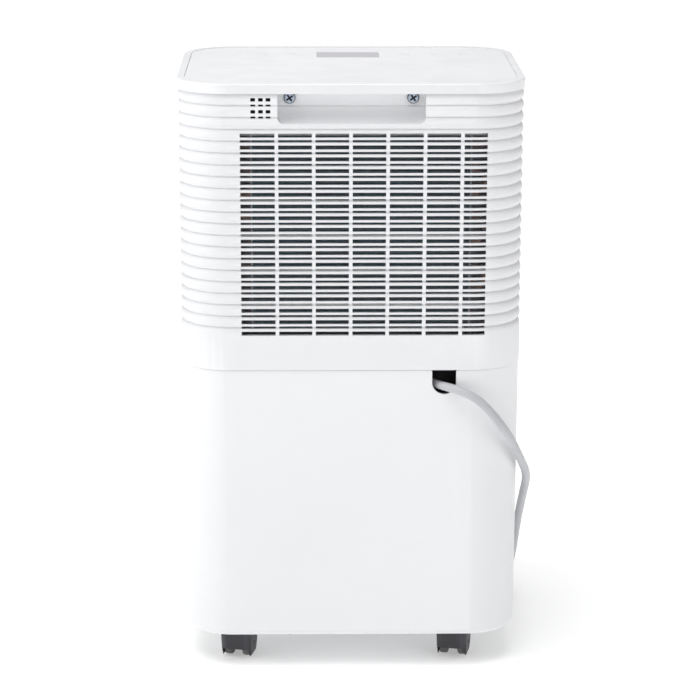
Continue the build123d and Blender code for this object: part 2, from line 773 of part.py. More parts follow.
# ---- electrics ------------------------------------------------------------------------------
box_x = (-133.0, -98.0)
box_y = (-34.0, 62.0)
box_z = (300.0, 440.0)
with BuildPart() as control_box:
    block(box_x, box_y, box_z)
    block(
        (box_x[0] + 1.8, box_x[1] + 1),
        (box_y[0] + 1.8, box_y[1] - 1.8),
        (box_z[0] + 1.8, box_z[1] - 1.8),
        Mode.SUBTRACT,
    )
    for z in (318, 418):
        block((-116, box_x[1]), (shroud_y, box_y[0] + 1.8), (z - 8, z + 8))
finish(control_box, "control_box")

with BuildPart() as main_board:
    board_x = box_x[0] + 8
    block((board_x, board_x + 1.6), (box_y[0] + 4, box_y[1] - 4), (box_z[0] + 4, box_z[1] - 4))
    for y, z, across, tall, out in [(-16, 330, 22, 20, 17), (14, 332, 16, 16, 15), (42, 330, 14, 20, 12)]:
        block((board_x + 1.6, board_x + out), (y - across / 2, y + across / 2), (z, z + tall))
finish(main_board, "main_board")

with BuildPart() as run_capacitor:
    rod((board_x + 1.6 + 12, -14, 396), (0, 1, 0), 12, 48)
    fillet(run_capacitor.edges().filter_by(GeomType.CIRCLE), 1.5)
finish(run_capacitor, "run_capacitor")

with BuildPart() as humidity_sensor:
    block((-82, -62), (-96, -94.4), (462, 481))
    block((-76, -68), (-99, -96), (467, 477))
finish(humidity_sensor, "humidity_sensor")

with BuildPart() as compressor_wires:
    for offset in (-5, 0, 5):
        tube(
            [
                (compressor_x - 10 + offset, compressor_y, shell_top_z + 20),
                (compressor_x - 10 + offset, compressor_y, shell_top_z + 34),
                (-124, -26 + offset, shell_top_z + 34),
                (-124, -26 + offset, box_z[0]),
            ],
            8,
            1.3,
        )
finish(compressor_wires, "compressor_wires")

with BuildPart() as handle_screws:
    head_y = -half_depth + recess_depth
    for x in (-handle_screw_x, handle_screw_x):
        rod((x, head_y, handle_screw_z), (0, -1, 0), 4.7, 2.8)
        rod((x, head_y, handle_screw_z), (0, 1, 0), 2.0, 14)
    rims = handle_screws.edges().filter_by(GeomType.CIRCLE).group_by(Axis.Y)[0]
    fillet(rims, 1.6)
    for x in (-handle_screw_x, handle_screw_x):
        for turn in (35, 125):
            with BuildSketch(
                Plane(
                    origin=(x, head_y - 3, handle_screw_z),
                    x_dir=(cos(radians(turn)), 0, sin(radians(turn))),
                    z_dir=(0, -1, 0),
                )
            ):
                Rectangle(6.2, 1.5)
            extrude(amount=-2.2, mode=Mode.SUBTRACT)
finish(handle_screws, "handle_screws")

# ---- cord -----------------------------------------------------------------------------------
exit_point = Vector(*cord_route[0])
exit_way = (Vector(*cord_route[1]) - exit_point).normalized()
gland_back_y = -74.0
with BuildPart() as cord_gland:
    block(
        (notch_x - 32, notch_x + notch_width / 2 + 2), (-inner_y, gland_back_y), (235.6, seam_z - 0.4)
    )
    block(
        (notch_x - 30, notch_x + notch_width / 2 + 0.1),
        (-inner_y - 1, gland_back_y - 2),
        (237.9, seam_z + 1),
        Mode.SUBTRACT,
    )
    root = exit_point - exit_way * 30
    rod(root, exit_way, 5.6, 20, Mode.SUBTRACT)
finish(cord_gland, "cord_gland")

relief_length = 20.0
with BuildPart() as strain_relief:
    start = exit_point - exit_way * relief_length
    with BuildSketch(Plane(origin=start, z_dir=exit_way)):
        Circle(5.4)
    with BuildSketch(Plane(origin=exit_point, z_dir=exit_way)):
        Circle(cord_radius + 0.7)
    loft()
finish(strain_relief, "strain_relief")

cord_radii = bend_radii(cord_route)
with BuildPart() as power_cord:
    cord_length = tube(cord_route, cord_radii, cord_radius)
finish(power_cord, "power_cord")

with BuildPart() as cord_coil:
    with BuildSketch(Plane.XY):
        with Locations(coil_centre):
            Circle(coil_ring[1])
            Circle(coil_ring[0], mode=Mode.SUBTRACT)
    extrude(amount=coil_ring_height)
    fillet(cord_coil.edges().filter_by(GeomType.CIRCLE).group_by(Axis.Z)[-1], 3)
finish(cord_coil, "cord_coil")

lead_radii = bend_radii(plug_lead_route)
with BuildPart() as plug_lead:
    lead_length = tube(plug_lead_route, lead_radii, cord_radius)
finish(plug_lead, "plug_lead")

plug_way = Vector(plug_direction[0], plug_direction[1], 0)
plug_tail = Vector(*plug_lead_route[-1])
with BuildPart() as plug_body:
    stations = [(0, 4.6, 4.6), (24, 6.5, 6.5), (34, 15, 11), (52, 18.5, 13), (66, 18.5, 13)]
    for distance, half_wide, half_tall in stations:
        place = plug_tail + plug_way * distance + Vector(0, 0, plug_axis_z - plug_tail.Z)
        across = Vector(-plug_way.Y, plug_way.X, 0)
        with BuildSketch(Plane(origin=place, x_dir=across, z_dir=plug_way)):
            Ellipse(half_wide, half_tall)
    loft()
finish(plug_body, "plug_body")

with BuildPart() as plug_pins:
    face = plug_tail + plug_way * 66 + Vector(0, 0, plug_axis_z - plug_tail.Z)
    across = Vector(-plug_way.Y, plug_way.X, 0)
    for side in (-9.5, 9.5):
        rod(face + across * side, plug_way, 2.4, 19)
finish(plug_pins, "plug_pins")

# ---- tank -----------------------------------------------------------------------------------
panel_inner_y = half_depth - lower_inset - wall
with BuildPart() as tank_front_panel:
    inset_slab(lower_inset, sill_z + 0.7, lower_top_z)
    inset_slab(lower_inset + wall, sill_z, lower_top_z + 1, Mode.SUBTRACT)
    block((-150, 150), (-120, tank_bay_y + 0.6), (0, 300), Mode.SUBTRACT)
    with BuildSketch(Plane.XZ.offset(-panel_inner_y + 1)):
        with Locations((0, lower_top_z)):
            RectangleRounded(92, 36, 12)
        with Locations((0, 130)):
            SlotOverall(90, 9, rotation=90)
    extrude(amount=-6, mode=Mode.SUBTRACT)
finish(tank_front_panel, "tank_front_panel")

with BuildPart() as level_window:
    with BuildSketch(Plane.XZ.offset(-panel_inner_y)):
        with Locations((0, 130)):
            SlotOverall(89.6, 8.6, rotation=90)
    extrude(amount=-wall)
finish(level_window, "level_window")

tub_x = inner_x - tank_gap
tub_front_y = panel_inner_y - tank_gap
tub_corner = 36.0
with BuildPart() as water_tank:
    with BuildSketch(Plane.XY.offset(tank_floor_z)):
        with Locations((0, (tank_back_y + tub_front_y) / 2)):
            RectangleRounded(2 * tub_x - 4, tub_front_y - tank_back_y, tub_corner)
    extrude(amount=tank_rim_z - tank_floor_z)
    fillet(water_tank.edges().group_by(Axis.Z)[0], 6)
    with BuildSketch(Plane.XY.offset(tank_floor_z + tank_wall)):
        with Locations((0, (tank_back_y + tub_front_y) / 2)):
            RectangleRounded(
                2 * (tub_x - 2 - tank_wall),
                tub_front_y - tank_back_y - 2 * tank_wall,
                tub_corner - tank_wall,
            )
    extrude(amount=tank_rim_z, mode=Mode.SUBTRACT)
    for x in (-70, 70):
        block((x - 10, x + 10), (tub_front_y, panel_inner_y), (60, 190))
    for y in float_ears_y:
        block((-tub_x + 3, float_pivot_x + 4), (y - 1.5, y + 1.5), (float_pivot_z - 5, float_pivot_z + 5))
    rod((float_pivot_x, 30, float_pivot_z), (0, 1, 0), float_pin_radius + running_gap, 45, Mode.SUBTRACT)
finish(water_tank, "water_tank")

with BuildPart() as tank_lid:
    with BuildSketch(Plane.XY.offset(tank_rim_z)):
        with Locations((0, (tank_back_y + tub_front_y) / 2)):
            RectangleRounded(2 * tub_x - 4, tub_front_y - tank_back_y, tub_corner)
    extrude(amount=3)
    block((-40, 56), (12, 50), (tank_rim_z + 3, tank_rim_z + 6))
    block((-37, 53), (15, 47), (tank_rim_z + 3, tank_rim_z + 7), Mode.SUBTRACT)
    rod((8, 26, tank_rim_z - 1), (0, 0, 1), 12, 10, Mode.SUBTRACT)
finish(tank_lid, "tank_lid")

with BuildPart() as tank_float:
    middle_y = sum(float_ears_y) / 2
    rod((float_pivot_x, float_ears_y[0] - 2, float_pivot_z), (0, 1, 0), float_pin_radius, 31)
    block((float_pivot_x - 3, float_pivot_x + 14), (middle_y - 6, middle_y + 6), (180, 188))
    block((float_pivot_x + 11, float_pivot_x + 51), (middle_y - 10.5, middle_y + 10.5), (150, 183))
    edges = tank_float.edges().filter_by(Axis.Z).sort_by(Axis.X)[-2:]
    fillet(edges, 5)
finish(tank_float, "tank_float")

# ---- casters --------------------------------------------------------------------------------
cheek_x = hood_width / 2 - 1.6
hood_inner_length = 25.2
turn = radians(caster_turn)
for side_name, sign_x in (("left", -1), ("right", 1)):
    for end_name, sign_y in (("rear", -1), ("front", 1)):
        swivel = Plane(
            origin=(sign_x * caster_x, sign_y * caster_y, 0),
            x_dir=(cos(turn), sin(turn), 0),
            z_dir=(0, 0, 1),
        )
        with BuildPart() as hood:
            for level, across, along in (
                (2.4, hood_width - 1.2, hood_length - 9),
                (hood_lip_z, hood_width - 0.6, hood_length - 4),
                (hood_top_z, hood_width, hood_length),
            ):
                with BuildSketch(swivel.offset(level)):
                    with Locations((0, -caster_trail)):
                        RectangleRounded(across, along, 5)
            loft(ruled=True)
            with BuildSketch(swivel.offset(-1)):
                with Locations((0, -caster_trail)):
                    Rectangle(2 * cheek_x, hood_inner_length)
            extrude(amount=24.5, mode=Mode.SUBTRACT)
            with BuildSketch(swivel.offset(-1)):
                with Locations((0, -caster_trail)):
                    Rectangle(2 * cheek_x, 60)
            extrude(amount=hood_lip_z + 1, mode=Mode.SUBTRACT)
            with BuildSketch(swivel.offset(hood_top_z - 2)):
                Circle(stem_radius)
            extrude(amount=socket_top_z - hood_top_z + 1)
            axle_start = swivel.from_local_coords((-30, -caster_trail, wheel_radius))
            rod(axle_start, swivel.x_dir, axle_radius + running_gap, 60, Mode.SUBTRACT)
        finish(hood, f"caster_hood_{end_name}_{side_name}")

        with BuildPart() as wheels:
            axle_start = swivel.from_local_coords((-cheek_x - 0.8, -caster_trail, wheel_radius))
            rod(axle_start, swivel.x_dir, axle_radius, 2 * cheek_x + 1.6)
            for low in (-wheel_gap / 2 - wheel_width, wheel_gap / 2):
                start = swivel.from_local_coords((low, -caster_trail, wheel_radius))
                rod(start, swivel.x_dir, wheel_radius, wheel_width)
            fillet(wheels.edges().filter_by(GeomType.CIRCLE).group_by(SortBy.RADIUS)[-1], 1.6)
        finish(wheels, f"caster_wheels_{end_name}_{side_name}")

for name, length in (("power_cord", cord_length), ("plug_lead", lead_length)):
    print(name, "path length", round(length, 1))
print("cord bend radii", [round(radius, 1) for radius in cord_radii])
print("plug lead bend radii", [round(radius, 1) for radius in lead_radii])
print("cord volume", round(power_cord.part.volume), "section x length", round(pi * cord_radius**2 * cord_length))
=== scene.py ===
"""Looks for the dehumidifier: materials, fins, filter net, key marks, mains cord, light and camera.

Everything is in metres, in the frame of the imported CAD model: +Z up, the back faces -Y.
"""

import math

import bmesh
import bpy
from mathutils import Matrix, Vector


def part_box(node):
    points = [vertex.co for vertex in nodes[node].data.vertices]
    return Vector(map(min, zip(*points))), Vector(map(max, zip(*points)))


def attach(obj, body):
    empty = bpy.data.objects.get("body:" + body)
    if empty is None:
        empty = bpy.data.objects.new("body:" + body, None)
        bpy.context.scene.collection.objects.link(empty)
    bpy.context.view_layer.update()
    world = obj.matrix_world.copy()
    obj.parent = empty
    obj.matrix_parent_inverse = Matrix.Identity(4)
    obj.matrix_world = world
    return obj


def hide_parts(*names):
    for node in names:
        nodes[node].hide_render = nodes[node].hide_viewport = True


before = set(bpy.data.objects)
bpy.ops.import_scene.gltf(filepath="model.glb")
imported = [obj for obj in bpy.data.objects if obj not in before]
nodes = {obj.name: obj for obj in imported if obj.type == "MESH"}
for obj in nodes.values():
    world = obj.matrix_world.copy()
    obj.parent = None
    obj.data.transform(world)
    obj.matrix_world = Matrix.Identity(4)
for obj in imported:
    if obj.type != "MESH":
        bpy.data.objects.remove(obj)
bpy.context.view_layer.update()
MM = 0.001


# ---- node helpers ---------------------------------------------------------------------------
class Shader:
    """A Principled material with small helpers for its procedural detail."""

    def __init__(self, name, colour, roughness, metallic=0.0):
        self.material = bpy.data.materials.new(name)
        self.material.use_nodes = True
        self.tree = self.material.node_tree
        self.principled = self.tree.nodes["Principled BSDF"]
        self.set("Base Color", (*colour, 1.0))
        self.set("Roughness", roughness)
        self.set("Metallic", metallic)
        self.height = None
        self.place = self.add("ShaderNodeTexCoord").outputs["Object"]

    def set(self, socket, value):
        """Sets a value that is the same all over the surface."""
        self.principled.inputs[socket].default_value = value

    def add(self, kind, **settings):
        """Adds a node with its settings."""
        node = self.tree.nodes.new(kind)
        for key, value in settings.items():
            setattr(node, key, value)
        return node

    def link(self, output, target):
        self.tree.links.new(output, target)

    def stretched(self, x, y, z):
        """The object's coordinates scaled along each axis."""
        node = self.add("ShaderNodeMapping")
        node.inputs["Scale"].default_value = (x, y, z)
        self.link(self.place, node.inputs["Vector"])
        return node.outputs["Vector"]

    def noise(self, scale, detail=3.0, roughness=0.55, place=None):
        """Fractal noise, its scale in cells to the metre."""
        node = self.add("ShaderNodeTexNoise")
        node.inputs["Scale"].default_value = scale
        node.inputs["Detail"].default_value = detail
        node.inputs["Roughness"].default_value = roughness
        self.link(self.place if place is None else place, node.inputs["Vector"])
        return node.outputs["Fac"]

    def spread(self, value, low, high, start=0.3, end=0.7):
        """Maps a value's usual span onto another."""
        node = self.add("ShaderNodeMapRange")
        for key, number in (("From Min", start), ("From Max", end), ("To Min", low), ("To Max", high)):
            node.inputs[key].default_value = number
        self.link(value, node.inputs["Value"])
        return node.outputs["Result"]

    def blend(self, factor, first, second):
        """A colour between two, by a factor. Each is a colour or a socket."""
        node = self.add("ShaderNodeMix", data_type="RGBA")
        sockets = [s for s in node.inputs if s.type == "RGBA"]
        for target, given in zip(sockets, (first, second)):
            if isinstance(given, tuple):
                target.default_value = (*given, 1.0)
            else:
                self.link(given, target)
        self.link(factor, node.inputs[0])
        return next(s for s in node.outputs if s.type == "RGBA")

    def paint(self, colour):
        """Colours the surface from a socket."""
        self.link(colour, self.principled.inputs["Base Color"])

    def gloss(self, value):
        """Drives the roughness from a socket."""
        self.link(value, self.principled.inputs["Roughness"])

    def bump(self, height, distance, strength=1.0):
        """Adds a layer of relief, with its real depth in metres."""
        node = self.add("ShaderNodeBump")
        node.inputs["Distance"].default_value = distance
        node.inputs["Strength"].default_value = strength
        self.link(height, node.inputs["Height"])
        if self.height is not None:
            self.link(self.height, node.inputs["Normal"])
        self.height = node.outputs["Normal"]
        self.link(self.height, self.principled.inputs["Normal"])

    def edges(self, low, high):
        """0 on flats and 1 on convex edges."""
        point = self.add("ShaderNodeNewGeometry").outputs["Pointiness"]
        return self.spread(point, 0.0, 1.0, low, high)


def shade(colour, factor):
    """A colour made lighter or darker by a factor."""
    return tuple(channel * factor for channel in colour)


def show(made):
    """Puts an object into the scene."""
    bpy.context.scene.collection.objects.link(made)
    return made


# ---- materials ------------------------------------------------------------------------------
def moulded_plastic(name, colour, roughness, grain=2400.0, depth=0.012 * MM, mottle=0.03, wear=0.05):
    """Injection-moulded plastic: a fine spark-eroded grain, faint flow marks and rubbed edges."""
    shader = Shader(name, colour, roughness)
    flow = shader.noise(9.0, 4.0)
    fine = shader.noise(420.0, 3.0)
    tint = shader.blend(shader.spread(flow, 0.0, 1.0), shade(colour, 1 - mottle), colour)
    speck = shader.blend(shader.spread(fine, 0.0, 0.35), tint, shade(colour, 1 - 1.6 * mottle))
    rubbed = shader.blend(shader.edges(0.53, 0.60), speck, shade(colour, 1 + wear))
    shader.paint(rubbed)
    shader.gloss(shader.spread(shader.noise(60.0, 5.0), roughness - 0.05, roughness + 0.07))
    shader.bump(shader.noise(grain, 2.0, 0.6), depth)
    shader.bump(shader.noise(26.0, 2.0), 0.05 * MM, 0.5)
    return shader.material


def display_glass():
    """A tinted window over an unlit display."""
    colour = (0.74, 0.72, 0.78)
    shader = Shader("display_glass", colour, 0.16)
    smear = shader.noise(70.0, 5.0, 0.6, shader.stretched(1.0, 3.0, 1.0))
    shader.paint(shader.blend(shader.spread(smear, 0.0, 0.5), colour, shade(colour, 0.93)))
    shader.gloss(shader.spread(smear, 0.12, 0.26))
    shader.set("Coat Weight", 0.6)
    shader.set("Coat Roughness", 0.08)
    shader.bump(shader.noise(900.0, 2.0), 0.003 * MM)
    return shader.material


def clear_window():
    """The narrow level window in the tank's front."""
    colour = (0.74, 0.80, 0.83)
    shader = Shader("clear_window", colour, 0.10)
    shader.set("Transmission Weight", 0.75)
    shader.set("IOR", 1.49)
    shader.gloss(shader.spread(shader.noise(120.0, 5.0), 0.07, 0.2))
    shader.bump(shader.noise(300.0, 2.0), 0.01 * MM)
    return shader.material


def translucent_tank():
    """Milky polypropylene with flow marks."""
    colour = (0.84, 0.88, 0.90)
    shader = Shader("translucent_tank", colour, 0.34)
    shader.set("Transmission Weight", 0.22)
    shader.set("IOR", 1.49)
    flow = shader.noise(14.0, 5.0, 0.6, shader.stretched(1.0, 1.0, 0.4))
    shader.paint(shader.blend(shader.spread(flow, 0.0, 1.0), shade(colour, 0.93), colour))
    shader.gloss(shader.spread(shader.noise(200.0, 4.0), 0.26, 0.42))
    shader.bump(shader.noise(700.0, 3.0), 0.02 * MM)
    return shader.material


def circuit_board():
    """Green solder resist over a faint net of tracks, with tinned pads."""
    colour = (0.03, 0.17, 0.075)
    shader = Shader("circuit_board", colour, 0.34)
    track = shader.add("ShaderNodeTexBrick")
    track.offset = 0.5
    for key, value in (
        ("Scale", 260.0),
        ("Mortar Size", 0.05),
        ("Mortar Smooth", 0.4),
        ("Brick Width", 1.7),
        ("Row Height", 0.6),
    ):
        track.inputs[key].default_value = value
    shader.link(shader.place, track.inputs["Vector"])
    pads = shader.add("ShaderNodeTexVoronoi")
    pads.inputs["Scale"].default_value = 210.0
    shader.link(shader.place, pads.inputs["Vector"])
    base = shader.blend(track.outputs["Fac"], colour, shade(colour, 1.9))
    dots = shader.spread(pads.outputs["Distance"], 1.0, 0.0, 0.12, 0.2)
    shader.paint(shader.blend(dots, base, (0.55, 0.54, 0.50)))
    shader.bump(track.outputs["Fac"], 0.03 * MM)
    return shader.material


def worked_metal(name, colour, roughness, stretch, scale=900.0, depth=0.004 * MM, tarnish=0.15):
    """Metal with a directional grain and a little tarnish."""
    shader = Shader(name, colour, roughness, 1.0)
    grain = shader.noise(scale, 4.0, 0.6, shader.stretched(*stretch))
    dull = shader.noise(38.0, 5.0, 0.6)
    shader.paint(shader.blend(shader.spread(dull, 0.0, 1.0), colour, shade(colour, 1 - tarnish)))
    shader.gloss(shader.spread(grain, roughness - 0.08, roughness + 0.12))
    shader.bump(grain, depth)
    return shader.material


def copper_tube():
    """Drawn copper that has gone brown in places, with traces of brazing heat."""
    colour = (0.78, 0.40, 0.25)
    shader = Shader("copper_tube", colour, 0.34, 1.0)
    patches = shader.noise(55.0, 6.0, 0.62)
    brown = shader.blend(shader.spread(patches, 0.0, 1.0, 0.38, 0.66), colour, (0.30, 0.14, 0.09))
    spots = shader.noise(300.0, 4.0, 0.6)
    shader.paint(shader.blend(shader.spread(spots, 0.0, 0.5, 0.55, 0.72), brown, (0.16, 0.30, 0.24)))
    shader.gloss(shader.spread(patches, 0.26, 0.52))
    shader.bump(shader.noise(1400.0, 3.0), 0.006 * MM)
    return shader.material


def fin_stock(name, colour, metallic, roughness):
    """Thin fin stock, coated or bare, with faint rolling lines and dust along its front edge."""
    shader = Shader(name, colour, roughness, metallic)
    lines = shader.noise(500.0, 4.0, 0.6, shader.stretched(1.0, 1.0, 0.05))
    dust = shader.noise(45.0, 5.0, 0.65)
    worn = shader.blend(shader.spread(lines, 0.0, 1.0), colour, shade(colour, 0.8))
    shader.paint(shader.blend(shader.spread(dust, 0.0, 0.35, 0.5, 0.75), worn, (0.30, 0.30, 0.28)))
    shader.gloss(shader.spread(lines, roughness - 0.06, roughness + 0.14))
    shader.bump(lines, 0.01 * MM)
    return shader.material


def painted_steel(name, colour, roughness):
    """Stoved paint with orange peel and small chips on its edges."""
    shader = Shader(name, colour, roughness)
    peel = shader.noise(650.0, 2.0)
    dusty = shader.noise(16.0, 5.0, 0.6)
    coat = shader.blend(shader.spread(dusty, 0.0, 0.3), colour, shade(colour, 2.2))
    shader.paint(shader.blend(shader.edges(0.56, 0.66), coat, shade(colour, 3.0)))
    shader.gloss(shader.spread(dusty, roughness - 0.06, roughness + 0.14))
    shader.bump(peel, 0.02 * MM)
    return shader.material


def pan_head():
    """Blue-grey screw steel, with painted shade below the head's face: round its rim and down in its cross.
    """
    shader = Shader("pan_head", (0.40, 0.45, 0.53), 0.34, 1.0)
    place = shader.add("ShaderNodeSeparateXYZ")
    shader.link(shader.place, place.inputs[0])
    face_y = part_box("handle_screws")[0].y
    # Painted shade: deeper than the head's face, the steel is painted near black, round the rim and in the
    # cross.
    painted_shade_below_face = shader.spread(place.outputs["Y"], 0.0, 1.0, face_y + 0.2 * MM, face_y + 0.6 * MM)
    patches = shader.noise(260.0, 4.0, 0.6)
    steel = shader.blend(shader.spread(patches, 0.0, 1.0), (0.34, 0.39, 0.47), (0.46, 0.51, 0.59))
    shader.paint(shader.blend(painted_shade_below_face, steel, (0.03, 0.035, 0.045)))
    shader.gloss(shader.spread(patches, 0.28, 0.44))
    shader.bump(shader.noise(1500.0, 3.0), 0.004 * MM)
    return shader.material


def soft_rubber(name, colour, roughness, depth=0.03 * MM, scale=1100.0):
    """Rubber or a soft cord jacket: dull bloom and a fine pore."""
    shader = Shader(name, colour, roughness)
    bloom = shader.noise(34.0, 5.0, 0.6)
    shader.paint(shader.blend(shader.spread(bloom, 0.0, 1.0), colour, shade(colour, 1.14)))
    shader.gloss(shader.spread(bloom, roughness - 0.08, roughness + 0.08))
    shader.bump(shader.noise(scale, 3.0, 0.6), depth)
    return shader.material


def rolling_wheel():
    """Caster wheels: scuffed, with dust that has rolled into the tread."""
    colour = (0.052, 0.052, 0.058)
    shader = Shader("rolling_wheel", colour, 0.5)
    scuff = shader.noise(420.0, 5.0, 0.7, shader.stretched(0.25, 1.0, 1.0))
    dust = shader.noise(60.0, 5.0, 0.6)
    worn = shader.blend(shader.spread(scuff, 0.0, 0.7), colour, (0.12, 0.115, 0.11))
    shader.paint(shader.blend(shader.spread(dust, 0.0, 0.5), worn, (0.17, 0.16, 0.15)))
    shader.gloss(shader.spread(scuff, 0.4, 0.7))
    shader.bump(scuff, 0.05 * MM)
    return shader.material


def closed_foam():
    """The float's closed-cell foam."""
    colour = (0.88, 0.86, 0.80)
    shader = Shader("closed_foam", colour, 0.8)
    cells = shader.add("ShaderNodeTexVoronoi")
    cells.inputs["Scale"].default_value = 900.0
    shader.link(shader.place, cells.inputs["Vector"])
    hollow = shader.spread(cells.outputs["Distance"], 0.0, 1.0, 0.1, 0.6)
    shader.paint(shader.blend(hollow, shade(colour, 0.84), colour))
    shader.bump(hollow, 0.08 * MM)
    return shader.material


white_body = moulded_plastic("white_body", (0.80, 0.805, 0.82), 0.42)
white_top = moulded_plastic("white_top", (0.81, 0.815, 0.83), 0.34, grain=1600.0, depth=0.006 * MM)
grey_plastic = moulded_plastic("grey_plastic", (0.42, 0.43, 0.44), 0.55, mottle=0.06)
filter_plastic = moulded_plastic("filter_plastic", (0.76, 0.765, 0.78), 0.5, mottle=0.05)
black_plastic = moulded_plastic("black_plastic", (0.018, 0.018, 0.02), 0.45, mottle=0.2, wear=0.6)
charcoal = moulded_plastic("charcoal", (0.024, 0.024, 0.030), 0.46, depth=0.02 * MM, mottle=0.2, wear=0.5)
impeller_plastic = moulded_plastic("impeller_plastic", (0.09, 0.09, 0.095), 0.42, mottle=0.15, wear=0.3)
tray_plastic = moulded_plastic("tray_plastic", (0.72, 0.72, 0.70), 0.6, mottle=0.06)
capacitor_case = moulded_plastic("capacitor_case", (0.74, 0.74, 0.71), 0.28, mottle=0.04)
wire_cover = soft_rubber("wire_cover", (0.42, 0.035, 0.03), 0.35)
screw_steel = worked_metal("screw_steel", (0.34, 0.38, 0.46), 0.34, (1, 1, 1), tarnish=0.3)
screw_head = pan_head()
shaft_steel = worked_metal("shaft_steel", (0.62, 0.63, 0.65), 0.24, (1, 0.05, 1))
zinc_plate = worked_metal("zinc_plate", (0.58, 0.60, 0.62), 0.36, (1, 1, 0.1), tarnish=0.25)
pin_metal = worked_metal("pin_metal", (0.72, 0.69, 0.62), 0.2, (0.3, 0.3, 1))
copper = copper_tube()
coated_fins = fin_stock("coated_fins", (0.06, 0.21, 0.24), 0.2, 0.42)
bare_fins = fin_stock("bare_fins", (0.60, 0.61, 0.62), 1.0, 0.36)
net_thread = soft_rubber("net_thread", (0.22, 0.24, 0.29), 0.5)
black_paint = painted_steel("black_paint", (0.016, 0.016, 0.018), 0.34)
motor_paint = painted_steel("motor_paint", (0.14, 0.145, 0.155), 0.38)
black_rubber = soft_rubber("black_rubber", (0.018, 0.018, 0.018), 0.72)
cord_jacket = soft_rubber("cord_jacket", (0.45, 0.455, 0.475), 0.40, depth=0.02 * MM)
wheel = rolling_wheel()
foam = closed_foam()
board = circuit_board()
display = display_glass()
window = clear_window()
tank_shell = translucent_tank()

FINISHES = {
    white_body: ["upper_rear_cover", "upper_front_cover", "lower_housing", "tank_front_panel", "tank_lid"],
    white_top: ["top_cover", "control_panel"],
    display: ["display_window"],
    window: ["level_window"],
    board: ["display_board", "main_board"],
    grey_plastic: ["base_pan", "bay_partition", "chassis_deck", "fan_shroud", "motor_bracket", "control_box"],
    tray_plastic: ["drip_tray"],
    filter_plastic: ["filter_frame"],
    copper: [
        "evaporator_tubes",
        "condenser_tubes",
        "discharge_pipe",
        "suction_pipe",
        "filter_drier",
        "capillary_tube",
    ],
    zinc_plate: ["coil_end_plates"],
    screw_head: ["handle_screws"],
    screw_steel: ["base_screws", "compressor_bolts"],
    shaft_steel: ["fan_shaft"],
    impeller_plastic: ["fan_impeller"],
    motor_paint: ["fan_motor"],
    black_paint: ["compressor", "accumulator", "accumulator_strap"],
    black_rubber: ["compressor_grommets"],
    black_plastic: ["terminal_cover", "cord_gland", "humidity_sensor"],
    capacitor_case: ["run_capacitor"],
    wire_cover: ["compressor_wires"],
    cord_jacket: ["strain_relief", "plug_body"],
    pin_metal: ["plug_pins"],
    tank_shell: ["water_tank"],
    foam: ["tank_float"],
    charcoal: [name for name in nodes if name.startswith("caster_hood")],
    wheel: [name for name in nodes if name.startswith("caster_wheels")],
}
for finish, members in FINISHES.items():
    for name in members:
        mesh = nodes[name].data
        mesh.materials.clear()
        mesh.materials.append(finish)
        for polygon in mesh.polygons:
            polygon.material_index = 0


# ---- pieces ---------------------------------------------------------------------------------
def piece(name, build, material, body):
    """Makes a mesh object with a building function and lets it ride on a body."""
    mesh = bpy.data.meshes.new(name)
    shape = bmesh.new()
    build(shape)
    bmesh.ops.recalc_face_normals(shape, faces=shape.faces)
    shape.to_mesh(mesh)
    shape.free()
    made = show(bpy.data.objects.new(name, mesh))
    mesh.materials.append(material)
    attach(made, body)
    return made


def add_bar(shape, low, high):
    """A closed bar between two corners."""
    corners = [
        shape.verts.new((x, y, z))
        for x in (low[0], high[0])
        for y in (low[1], high[1])
        for z in (low[2], high[2])
    ]
    for face in ((0, 1, 3, 2), (4, 6, 7, 5), (0, 4, 5, 1), (2, 3, 7, 6), (0, 2, 6, 4), (1, 5, 7, 3)):
        shape.faces.new([corners[i] for i in face])


def add_strip(shape, outline, low, high):
    """A closed prism from an outline of (x, y) points in order, between two heights."""
    bottom = [shape.verts.new((x, y, low)) for x, y in outline]
    top = [shape.verts.new((x, y, high)) for x, y in outline]
    shape.faces.new(bottom)
    shape.faces.new(top)
    for i in range(len(outline)):
        j = (i + 1) % len(outline)
        shape.faces.new((bottom[i], bottom[j], top[j], top[i]))


FIN_PITCH = 1.8 * MM
FIN_THICKNESS = 0.16 * MM
FIN_WAVE = 0.85 * MM
FIN_WAVES = 8


def fin_stack(node):
    """Thin corrugated plates that fill a heat exchanger's block."""
    low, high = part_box(node)
    count = round((high.x - low.x - FIN_THICKNESS) / FIN_PITCH) + 1
    pitch = (high.x - low.x - FIN_THICKNESS - 2 * FIN_WAVE) / (count - 1)

    def build(shape):
        stations = [low.y + (high.y - low.y) * i / FIN_WAVES for i in range(FIN_WAVES + 1)]
        for k in range(count):
            x = low.x + FIN_WAVE + FIN_THICKNESS / 2 + pitch * k
            line = [(x + (FIN_WAVE if i % 2 else -FIN_WAVE), y) for i, y in enumerate(stations)]
            front = [(px - FIN_THICKNESS / 2, py) for px, py in line]
            back = [(px + FIN_THICKNESS / 2, py) for px, py in reversed(line)]
            add_strip(shape, front + back, low.z, high.z)

    return build


for node, material, slot in (
    ("evaporator_fins", coated_fins, "coated_fins"),
    ("condenser_fins", bare_fins, "bare_fins"),
):
    stack = piece(node.replace("fins", "plates"), fin_stack(node), material, "cabinet")
    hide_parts(node)

NET_CELL = 1.75 * MM
NET_THREAD = 0.34 * MM


